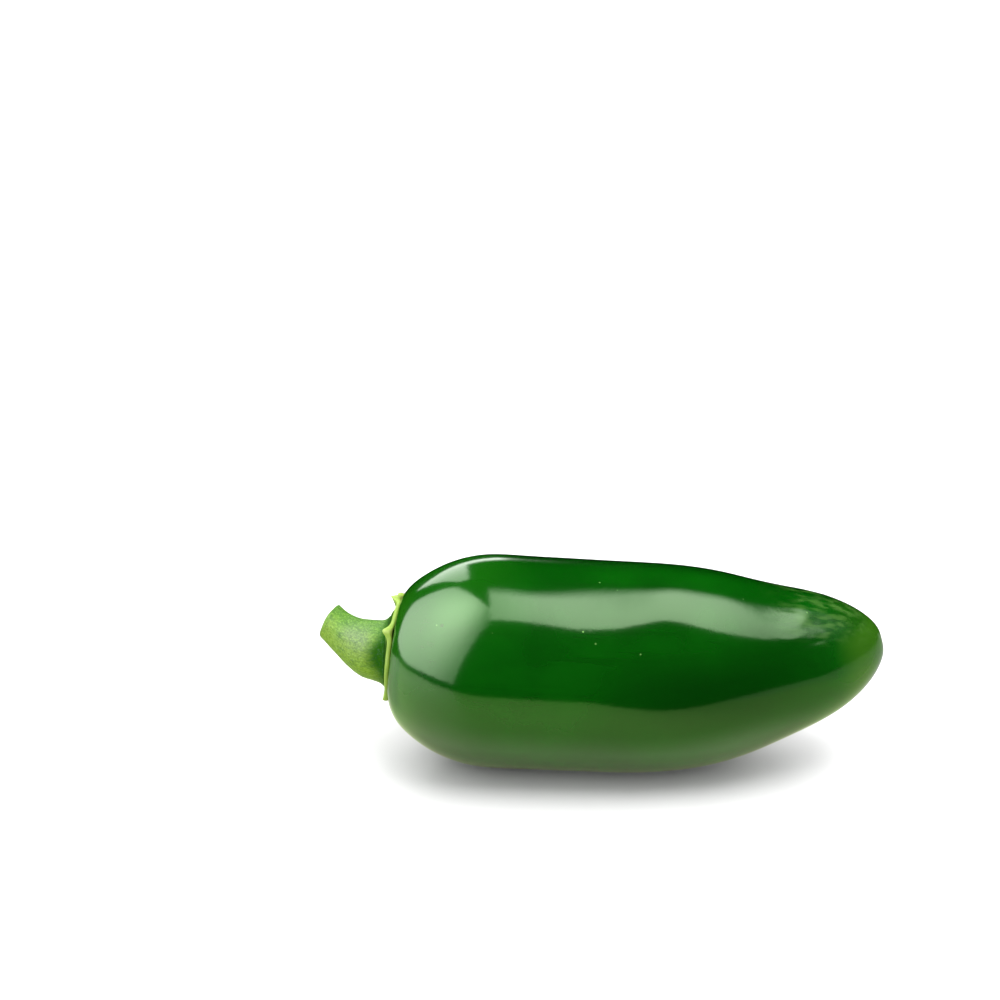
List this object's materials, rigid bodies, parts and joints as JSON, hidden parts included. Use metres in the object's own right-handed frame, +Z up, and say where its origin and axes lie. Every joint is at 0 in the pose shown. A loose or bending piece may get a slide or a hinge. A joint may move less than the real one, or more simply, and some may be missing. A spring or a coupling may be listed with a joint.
{
  "type": "chilli pepper",
  "caption": "Plump green chilli pepper lying on its side, with a thin toothed calyx on its shoulder and a short, curved, cut stem.",
  "frame": {"origin": "on the surface the pepper lies on, under the middle of its bounding box", "axes": "+X along the pod from stem to tip, +Z up from the surface, +Y to the back"},
  "size_m": [0.0902, 0.034, 0.0339],
  "materials": {
    "pod_skin": "smooth waxy skin, glossy",
    "calyx": "soft leafy surface, slightly satin",
    "stem": "soft ribbed stalk, slightly satin"
  },
  "bodies": {
    "root": {"pod": "pod_skin", "calyx": "calyx", "stem": "stem"}
  },
  "joints": []
}
